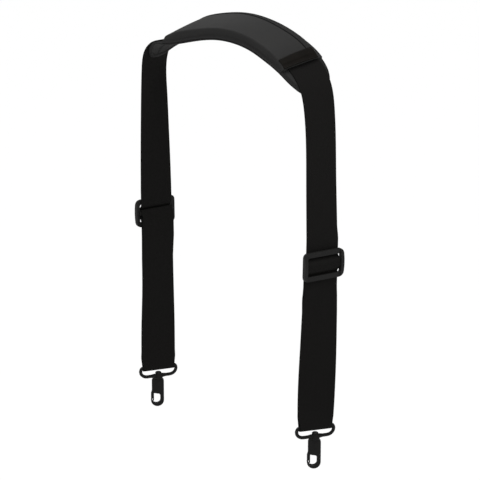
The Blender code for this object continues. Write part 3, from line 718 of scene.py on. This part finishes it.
def base(name):
    """The thin padded layer under the webbing, with a rounded edge."""
    loop = base_outline()
    inner = -SEAT_DEPTH
    outer = -HALF_PLY - GAP
    thick = outer - inner
    spine = np.stack([loop[:, 0] * SPINE_SHARE, np.zeros(len(loop))], axis=1)
    rings = []
    for inward, level in BASE_RINGS[::-1]:
        rings.append((loop + (spine - loop) * inward, outer - thick * (1 - level)))
    for inward, level in BASE_RINGS:
        rings.append((loop + (spine - loop) * inward, inner + thick * (1 - level)))
    skins = [run.points(flat[:, 0], flat[:, 1], np.full(len(flat), level)) for flat, level in rings]
    grid = np.stack(skins, axis=1)
    uv_flat = np.stack([np.stack([flat[:, 1], flat[:, 0]], axis=1) for flat, _ in rings], axis=1)
    uv = np.concatenate([uv_flat, uv_flat[:1]], axis=0)
    return outward(grid_mesh(name, grid, around=False, along=True, uv=uv, caps=False))


def sweep_loop(name, loop, section):
    """Sweeps a section of (inset, level) round a closed loop on the base."""
    ways = unit(np.roll(loop, -1, axis=0) - np.roll(loop, 1, axis=0))
    normals = np.stack([-ways[:, 1], ways[:, 0]], axis=1)
    section = np.array(section)
    s = loop[:, :1] + normals[:, :1] * section[None, :, 0]
    across = loop[:, 1:] + normals[:, 1:] * section[None, :, 0]
    level = np.ones_like(s) * section[None, :, 1]
    grid = run.points(s, across, level)
    lengths = np.arange(len(loop) + 1) * np.linalg.norm(loop[1] - loop[0])
    steps = np.linalg.norm(np.diff(np.concatenate([section, section[:1]]), axis=0), axis=1)
    around = np.concatenate([[0.0], np.cumsum(steps)])
    uv = np.stack(np.broadcast_arrays(around[None, :], lengths[:, None]), axis=-1)
    return outward(grid_mesh(name, grid, along=True, uv=uv, caps=False))


# The binding tape: its width on each face, how proud it stands, and the turns of its section
BINDING_WIDTH = 0.0042
BINDING_PROUD = 0.00028
BINDING_CORNER = 0.0004
BINDING_TURN = 0.6
BINDING_SHOULDER = 0.0008
BINDING_EDGE = 0.0001
BINDING_EDGE_DROP = 0.0002
BINDING_BULGE = 0.0005


def binding(name):
    """The tape that is folded round the base's edge."""
    inner = -SEAT_DEPTH
    outer = -HALF_PLY - GAP
    corner = BINDING_WIDTH - BINDING_CORNER
    section = [
        (BINDING_WIDTH, outer - BINDING_PROUD),
        (BINDING_WIDTH, outer + BINDING_PROUD * BINDING_TURN),
        (corner, outer + BINDING_PROUD),
        (BINDING_SHOULDER, outer + BINDING_PROUD),
        (-BINDING_EDGE, outer - BINDING_EDGE_DROP),
        (-BINDING_BULGE, (inner + outer) / 2),
        (-BINDING_EDGE, inner + BINDING_EDGE_DROP),
        (BINDING_SHOULDER, inner - BINDING_PROUD),
        (corner, inner - BINDING_PROUD),
        (BINDING_WIDTH, inner - BINDING_PROUD * BINDING_TURN),
        (BINDING_WIDTH, inner + BINDING_PROUD),
    ]
    return sweep_loop(name, base_outline(), section)


# Rings of one stitch. along: share of its length. lift and size: shares of the thread's radius.
STITCH_RINGS = (
    (-0.50, -0.80, 0.5),
    (-0.38, 0.10, 1.0),
    (-0.15, 0.55, 1.0),
    (0.15, 0.55, 1.0),
    (0.38, 0.10, 1.0),
    (0.50, -0.80, 0.5),
)
STITCH_SIDES = 6

# How far ahead and behind a stitch's direction is read, and a length that keeps it from being zero
STITCH_REACH = 1e-4
TINY_LENGTH = 1e-12


def stitches(name, path, normals, thread=0.00022, length=0.0023, pitch=0.0030):
    """A row of sewn stitches along a path of points, each dipping into the cloth at its ends."""
    lengths = np.concatenate([[0.0], np.cumsum(np.linalg.norm(np.diff(path, axis=0), axis=1))])
    count = int(lengths[-1] / pitch)
    sides = STITCH_SIDES
    rings = len(STITCH_RINGS)
    points = []
    faces = []
    for k in range(count):
        start = len(points)
        for along, lift, size in STITCH_RINGS:
            at = (k + 0.5) * pitch + along * length
            centre = np.array([np.interp(at, lengths, path[:, i]) for i in range(3)])
            normal = unit(np.array([np.interp(at, lengths, normals[:, i]) for i in range(3)]))
            ahead = np.array([np.interp(at + STITCH_REACH, lengths, path[:, i]) for i in range(3)])
            behind = np.array([np.interp(at - STITCH_REACH, lengths, path[:, i]) for i in range(3)])
            way = unit(ahead - behind + TINY_LENGTH)
            side = np.cross(normal, way)
            for j in range(sides):
                angle = 2 * math.pi * j / sides
                offset = side * math.cos(angle) + normal * math.sin(angle)
                points.append(centre + normal * lift * thread + offset * thread * size)
        for i in range(rings - 1):
            for j in range(sides):
                j_next = (j + 1) % sides
                a = start + i * sides
                b = a + sides
                faces.append((a + j, a + j_next, b + j_next, b + j))
        faces.append(tuple(start + j for j in range(sides - 1, -1, -1)))
        faces.append(tuple(start + (rings - 1) * sides + j for j in range(sides)))
    mesh = bpy.data.meshes.new(name)
    mesh.from_pydata([tuple(p) for p in points], [], faces)
    mesh.update()
    mesh.shade_smooth()
    return outward(link(name, mesh))


def run_stitches(name, s, across, level, away=1.0, **options):
    """Stitches along a line given by place, place across and level."""
    s = np.asarray(s, float)
    path = run.points(s, np.asarray(across, float), np.asarray(level, float))
    _, _, out, _ = run.frames(s)
    return stitches(name, path, out * away, **options)


# Materials

MILLIMETRES = 1000.0


class Nodes:
    """A short way to write a material's nodes."""

    def __init__(self, name):
        self.material = bpy.data.materials.new(name)
        self.material.use_nodes = True
        self.tree = self.material.node_tree
        self.shader = self.tree.nodes["Principled BSDF"]

    def add(self, kind, **settings):
        node = self.tree.nodes.new(kind)
        for key, value in settings.items():
            setattr(node, key, value)
        return node

    def put(self, socket, value):
        if isinstance(value, bpy.types.NodeSocket):
            self.tree.links.new(value, socket)
        else:
            socket.default_value = value

    def math(self, operation, first, second=0.0, third=None):
        node = self.add("ShaderNodeMath", operation=operation)
        self.put(node.inputs[0], first)
        self.put(node.inputs[1], second)
        if third is not None:
            self.put(node.inputs[2], third)
        return node.outputs[0]

    def strap_mm(self):
        """Places across and along the strap, in millimetres."""
        node = self.add("ShaderNodeUVMap", uv_map="strap")
        parts = self.add("ShaderNodeSeparateXYZ")
        self.put(parts.inputs[0], node.outputs[0])
        across = self.math("MULTIPLY", parts.outputs[0], MILLIMETRES)
        along = self.math("MULTIPLY", parts.outputs[1], MILLIMETRES)
        return across, along

    def noise(self, scale, detail=3.0, roughness=0.55):
        place = self.add("ShaderNodeTexCoord")
        node = self.add("ShaderNodeTexNoise")
        self.put(node.inputs["Vector"], place.outputs["Object"])
        node.inputs["Scale"].default_value = scale
        node.inputs["Detail"].default_value = detail
        node.inputs["Roughness"].default_value = roughness
        return node.outputs["Fac"]

    def spread(self, value, low, high):
        node = self.add("ShaderNodeMapRange")
        self.put(node.inputs[0], value)
        node.inputs[3].default_value = low
        node.inputs[4].default_value = high
        return node.outputs[0]

    def mix(self, share, first, second):
        node = self.add("ShaderNodeMix", data_type="RGBA")
        self.put(node.inputs[0], share)
        self.put(node.inputs[6], first)
        self.put(node.inputs[7], second)
        return node.outputs[2]

    def bump(self, height, distance, strength=1.0, under=None):
        node = self.add("ShaderNodeBump")
        node.inputs["Strength"].default_value = strength
        node.inputs["Distance"].default_value = distance
        self.put(node.inputs["Height"], height)
        if under is not None:
            self.put(node.inputs["Normal"], under)
        return node.outputs[0]

    def set(self, **values):
        names = {
            "colour": "Base Color",
            "roughness": "Roughness",
            "normal": "Normal",
            "specular": "Specular IOR Level",
            "sheen": "Sheen Weight",
            "sheen_roughness": "Sheen Roughness",
            "sheen_tint": "Sheen Tint",
        }
        for key, value in values.items():
            self.put(self.shader.inputs[names[key]], value)
        return self.material


def grey(level, warm=0.0):
    """A grey, with red raised and blue lowered by the share warm."""
    return (level * (1 + warm), level, level * (1 - warm), 1.0)


def ribs(nodes, place, pitch):
    """Height of rounded ribs that repeat at this pitch."""
    return nodes.math("ABSOLUTE", nodes.math("SINE", nodes.math("MULTIPLY", place, math.pi / pitch)))


def woven(nodes, across, along, pitch_across, pitch_along):
    """Height of a plain weave: rounded threads that pass over one column and under the next."""
    column_index = nodes.math("FLOOR", nodes.math("DIVIDE", across, pitch_across))
    odd = nodes.math("PINGPONG", column_index, 1.0)
    shifted = nodes.math("MULTIPLY_ADD", odd, 0.5, nodes.math("DIVIDE", along, pitch_along))
    over = nodes.math("ABSOLUTE", nodes.math("SINE", nodes.math("MULTIPLY", shifted, math.pi)))
    thread = ribs(nodes, across, pitch_across)
    return nodes.math("POWER", nodes.math("MULTIPLY", over, thread), 0.5)


def webbing_material():
    nodes = Nodes("webbing_weave")
    across, along = nodes.strap_mm()
    weave = woven(nodes, across, along, 1.05, 2.1)
    cloudy = nodes.noise(28.0)
    fuzz = nodes.noise(1900.0, detail=2.0)
    # Painted shade: the weave's low places between the threads are coloured darker than their tops.
    tone = nodes.mix(nodes.spread(weave, 0.0, 1.0), grey(0.0024, 0.03), grey(0.0076, 0.05))
    tone = nodes.mix(nodes.spread(cloudy, 0.0, 0.30), tone, grey(0.0098, 0.07))
    first = nodes.bump(weave, 0.00022, 0.8)
    second = nodes.bump(fuzz, 0.00008, 0.5, first)
    return nodes.set(
        colour=tone, roughness=nodes.spread(cloudy, 0.72, 0.9), normal=second,
        specular=0.05, sheen=0.01, sheen_roughness=0.45, sheen_tint=grey(0.9, 0.03),
    )


def cover_material():
    nodes = Nodes("cover_cloth")
    across, along = nodes.strap_mm()
    weave = woven(nodes, across, along, 0.55, 1.1)
    cloudy = nodes.noise(22.0)
    fuzz = nodes.noise(2400.0, detail=2.0)
    tone = nodes.mix(nodes.spread(cloudy, 0.1, 0.9), grey(0.015, 0.0), grey(0.019, 0.02))
    # Painted shade: the low places of the cover's weave are mixed towards a darker grey.
    tone = nodes.mix(nodes.spread(weave, 0.25, 0.0), tone, grey(0.008, 0.0))
    first = nodes.bump(weave, 0.00010, 0.6)
    second = nodes.bump(fuzz, 0.00006, 0.4, first)
    return nodes.set(
        colour=tone, roughness=nodes.spread(cloudy, 0.6, 0.75), normal=second,
        specular=0.12, sheen=0.04, sheen_roughness=0.35, sheen_tint=(1.0, 0.97, 0.94, 1.0),
    )


def base_material():
    nodes = Nodes("base_knit")
    across, along = nodes.strap_mm()
    knit = woven(nodes, across, along, 0.8, 0.9)
    cloudy = nodes.noise(30.0)
    fuzz = nodes.noise(1500.0, detail=3.0)
    tone = nodes.mix(nodes.spread(cloudy, 0.0, 1.0), grey(0.014, 0.0), grey(0.022, 0.02))
    tone = nodes.mix(nodes.spread(fuzz, 0.0, 0.3), tone, grey(0.035, 0.0))
    first = nodes.bump(knit, 0.00015, 0.7)
    second = nodes.bump(fuzz, 0.00015, 0.6, first)
    return nodes.set(
        colour=tone, roughness=0.9, normal=second,
        specular=0.06, sheen=0.04, sheen_roughness=0.5, sheen_tint=grey(0.95, 0.0),
    )


def binding_material():
    nodes = Nodes("binding_tape")
    _, along = nodes.strap_mm()
    rib = ribs(nodes, along, 0.8)
    cloudy = nodes.noise(60.0)
    tone = nodes.mix(nodes.spread(cloudy, 0.0, 1.0), grey(0.010, 0.0), grey(0.018, 0.02))
    # Painted shade: the grooves between the tape's ribs are mixed towards a darker grey.
    tone = nodes.mix(nodes.spread(rib, 0.4, 0.0), tone, grey(0.004, 0.0))
    return nodes.set(
        colour=tone, roughness=0.75, normal=nodes.bump(rib, 0.00014, 0.7),
        specular=0.08, sheen=0.03, sheen_roughness=0.4, sheen_tint=grey(0.95, 0.0),
    )


def piping_material():
    nodes = Nodes("cover_piping")
    _, along = nodes.strap_mm()
    rib = ribs(nodes, along, 1.3)
    cloudy = nodes.noise(40.0)
    tone = nodes.mix(nodes.spread(cloudy, 0.1, 0.9), grey(0.015, 0.0), grey(0.020, 0.02))
    # Painted shade: the grooves between the piping's ribs are mixed towards a darker grey.
    tone = nodes.mix(nodes.spread(rib, 0.6, 0.0), tone, grey(0.006, 0.0))
    return nodes.set(
        colour=tone, roughness=0.75, normal=nodes.bump(rib, 0.00030, 0.8),
        specular=0.08, sheen=0.03, sheen_roughness=0.4, sheen_tint=grey(0.95, 0.0),
    )


def painted_seam_shadow_material():
    # Painted shadow: a near-black strip that stands for the shade in the groove beside the piping, with its
    # weave's low places darker still.
    nodes = Nodes("seam_groove")
    across, along = nodes.strap_mm()
    twill = woven(nodes, across, along, 0.4, 0.9)
    tone = nodes.mix(twill, grey(0.0008, 0.0), grey(0.0030, 0.02))
    return nodes.set(colour=tone, roughness=0.9, normal=nodes.bump(twill, 0.00008, 0.6), specular=0.02)


def label_material():
    nodes = Nodes("label_satin")
    across, along = nodes.strap_mm()
    weave = woven(nodes, across, along, 0.35, 0.7)
    cloudy = nodes.noise(90.0)
    tone = nodes.mix(nodes.spread(cloudy, 0.0, 1.0), grey(0.0030, 0.14), grey(0.0060, 0.20))
    return nodes.set(
        colour=tone, roughness=0.55, normal=nodes.bump(weave, 0.00006, 0.6),
        specular=0.04, sheen=0.0,
    )


def thread_material():
    nodes = Nodes("stitch_thread")
    twist = nodes.noise(2600.0, detail=1.0)
    tone = nodes.mix(twist, grey(0.003, 0.0), grey(0.010, 0.02))
    return nodes.set(colour=tone, roughness=0.6, normal=nodes.bump(twist, 0.00005, 0.6), specular=0.25)


def plastic_material():
    nodes = Nodes("slider_plastic")
    grain = nodes.noise(1400.0, detail=2.0)
    cloudy = nodes.noise(50.0)
    scuff = nodes.noise(240.0, detail=6.0, roughness=0.7)
    tone = nodes.mix(nodes.spread(cloudy, 0.0, 1.0), grey(0.0065, 0.03), grey(0.0095, 0.03))
    tone = nodes.mix(nodes.spread(scuff, -0.6, 0.5), tone, grey(0.024, 0.02))
    return nodes.set(
        colour=tone, roughness=nodes.spread(scuff, 0.48, 0.64), normal=nodes.bump(grain, 0.00004, 0.5),
        specular=0.14,
    )


def metal_material():
    nodes = Nodes("coated_metal")
    grain = nodes.noise(1800.0, detail=2.0)
    cloudy = nodes.noise(70.0)
    wear = nodes.noise(320.0, detail=7.0, roughness=0.75)
    tone = nodes.mix(nodes.spread(cloudy, 0.0, 1.0), grey(0.0045, 0.02), grey(0.0075, 0.03))
    tone = nodes.mix(nodes.spread(wear, -0.7, 0.5), tone, grey(0.026, 0.03))
    return nodes.set(
        colour=tone, roughness=nodes.spread(wear, 0.42, 0.58), normal=nodes.bump(grain, 0.00003, 0.4),
        specular=0.12,
    )


def dress(obj, material):
    """Gives the piece this one material."""
    obj.data.materials.clear()
    obj.data.materials.append(material)
    return obj


# Build

# Insets of the stitch rows from the edges, the cover rows' stop before its ends, and their fineness
BINDING_STITCH_INSET = 0.0027
COVER_STITCH_NEAR = 0.0007
COVER_STITCH_FAR = 0.0011
COVER_STITCH_END = 0.002
COVER_STITCH_POINTS = 200

WEBBING = webbing_material()
COVER = cover_material()
BASE = base_material()
BINDING = binding_material()
LABEL = label_material()
PIPING = piping_material()
SEAM_SHADOW = painted_seam_shadow_material()
THREAD = thread_material()
PLASTIC = plastic_material()
METAL = metal_material()

for side, word in ((-1, "left"), (1, "right")):
    piece, length = webbing(side, f"webbing_{word}_cloth")
    dress(piece, WEBBING)
    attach(piece, "strap")
    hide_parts(f"webbing_{word}")

piece = dress(cover("pad_cover"), COVER)
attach(piece, "strap")
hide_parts("shoulder_pad")

piece = dress(base("pad_underside"), BASE)
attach(piece, "strap")
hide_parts("pad_base")

edge = dress(binding("pad_binding"), BINDING)
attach(edge, "strap")

binding_rows = (
    ("inner", -SEAT_DEPTH - BINDING_PROUD, -1.0),
    ("outer", -HALF_PLY - GAP + BINDING_PROUD, 1.0),
)
for name, level, away in binding_rows:
    loop = base_outline(BINDING_STITCH_INSET)
    loop = np.concatenate([loop, loop[:1]])
    levels = np.full(len(loop), level)
    row = dress(run_stitches(f"binding_stitches_{name}", loop[:, 0], loop[:, 1], levels, away), THREAD)
    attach(row, "strap")

first = COVER_LEFT + COVER_STITCH_END
last = COVER_RIGHT - COVER_STITCH_END
places = np.linspace(first, last, COVER_STITCH_POINTS)
near, far = edge_widths(places)
cover_rows = (
    ("near", -near + COVER_STITCH_NEAR, PIPING_PROUD),
    ("far", far - COVER_STITCH_FAR, 0.0),
)
for name, across, lift in cover_rows:
    level = body_level(places, across) + lift
    row = dress(run_stitches(f"cover_stitches_{name}", places, across, level), THREAD)
    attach(row, "strap")

band_left = COVER_LEFT + BAND_END_GAP
far_edge = FLANGE_FAR + FAR_BAND_SHARE * SIDE_RUN
far_piping = (far_edge, far_edge)
far_seam_shadow = tuple(far_edge + offset for offset in FAR_SEAM_SHADOW_OFFSETS)

# Each band's name, whether it is on the far side, its left end, starts, widths, height and material
bands = (
    ("cover_piping_far", True, band_left, far_piping, FAR_PIPING_WIDTHS, PIPING_PROUD, PIPING),
    ("cover_seam_far", True, band_left, far_seam_shadow, FAR_SEAM_SHADOW_WIDTHS, FAR_SEAM_SHADOW_PROUD, SEAM_SHADOW),
    ("cover_piping_near", False, band_left, NEAR_PIPING_STARTS, NEAR_PIPING_WIDTHS, PIPING_PROUD, PIPING),
    ("cover_seam_near", False, NEAR_SEAM_SHADOW_FIRST, NEAR_SEAM_SHADOW_STARTS, NEAR_SEAM_SHADOW_WIDTHS, NEAR_SEAM_SHADOW_PROUD, SEAM_SHADOW),
)
for name, toward_far, first, start, width, proud, material in bands:
    band = dress(cover_band(name, toward_far, first, start, width, proud), material)
    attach(band, "strap")

tag, tag_rows, tag_across, tag_level = label("label_tag_cloth")
dress(tag, LABEL)
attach(tag, "strap")
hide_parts("label_tag")
for name, row in (("upper", 1), ("lower", -2)):
    line = dress(
        run_stitches(
            f"label_stitches_{name}",
            np.full(LABEL_STEPS - 1, tag_rows[row]),
            tag_across[row, 1:-1],
            tag_level[row, 1:-1],
            thread=0.00013, length=0.0016, pitch=0.0021,
        ),
        THREAD,
    )
    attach(line, "strap")

for name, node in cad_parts.items():
    if name.startswith("slider"):
        dress(node, PLASTIC)
    if name.startswith(("ring", "hook", "gate")):
        dress(node, METAL)

# Camera, floor and light

right = Vector((math.cos(CAMERA_AZIMUTH), math.sin(CAMERA_AZIMUTH), 0.0))
ahead = Vector(
    (
        -math.sin(CAMERA_AZIMUTH) * math.cos(CAMERA_ELEVATION),
        math.cos(CAMERA_AZIMUTH) * math.cos(CAMERA_ELEVATION),
        -math.sin(CAMERA_ELEVATION),
    )
)
up = right.cross(ahead)
camera_data = bpy.data.cameras.new("camera")
camera_data.sensor_width = CAMERA_SENSOR
camera_data.lens = CAMERA_LENS
camera_data.clip_end = CAMERA_CLIP
camera = bpy.data.objects.new("camera", camera_data)
bpy.context.scene.collection.objects.link(camera)
turn = Matrix((right, up, -ahead)).transposed().to_4x4()
camera.matrix_world = Matrix.Translation(CAMERA_TARGET - ahead * CAMERA_DISTANCE) @ turn
bpy.context.scene.camera = camera

floor_mesh = bpy.data.meshes.new("floor")
corners = [(x * FLOOR_REACH, y * FLOOR_REACH, FLOOR_LEVEL) for x, y in ((-1, -1), (1, -1), (1, 1), (-1, 1))]
floor_mesh.from_pydata(corners, [], [(0, 1, 2, 3)])
floor = link("floor", floor_mesh)
floor_nodes = Nodes("floor")
dress(floor, floor_nodes.set(colour=grey(FLOOR_TONE), roughness=0.9, specular=0.1))

world = bpy.data.worlds.new("studio")
world.use_nodes = True
background = world.node_tree.nodes["Background"]
background.inputs["Color"].default_value = (1.0, 1.0, 1.0, 1.0)
background.inputs["Strength"].default_value = WORLD_STRENGTH
bpy.context.scene.world = world


def area(name, place, target, size, power):
    """A round white lamp that looks at its target."""
    data = bpy.data.lights.new(name, "AREA")
    data.shape = "DISK"
    data.size = size
    data.energy = power
    lamp = bpy.data.objects.new(name, data)
    bpy.context.scene.collection.objects.link(lamp)
    lamp.location = place
    lamp.rotation_euler = (Vector(target) - Vector(place)).to_track_quat("-Z", "Y").to_euler()


sun_data = bpy.data.lights.new("overhead", "SUN")
sun_data.energy = SUN_STRENGTH
sun_data.angle = SUN_ANGLE
sun = bpy.data.objects.new("overhead", sun_data)
bpy.context.scene.collection.objects.link(sun)
sun.rotation_euler = SUN_TURN
for lamp in LAMPS:
    area(*lamp)

bpy.context.scene.view_settings.view_transform = "Standard"
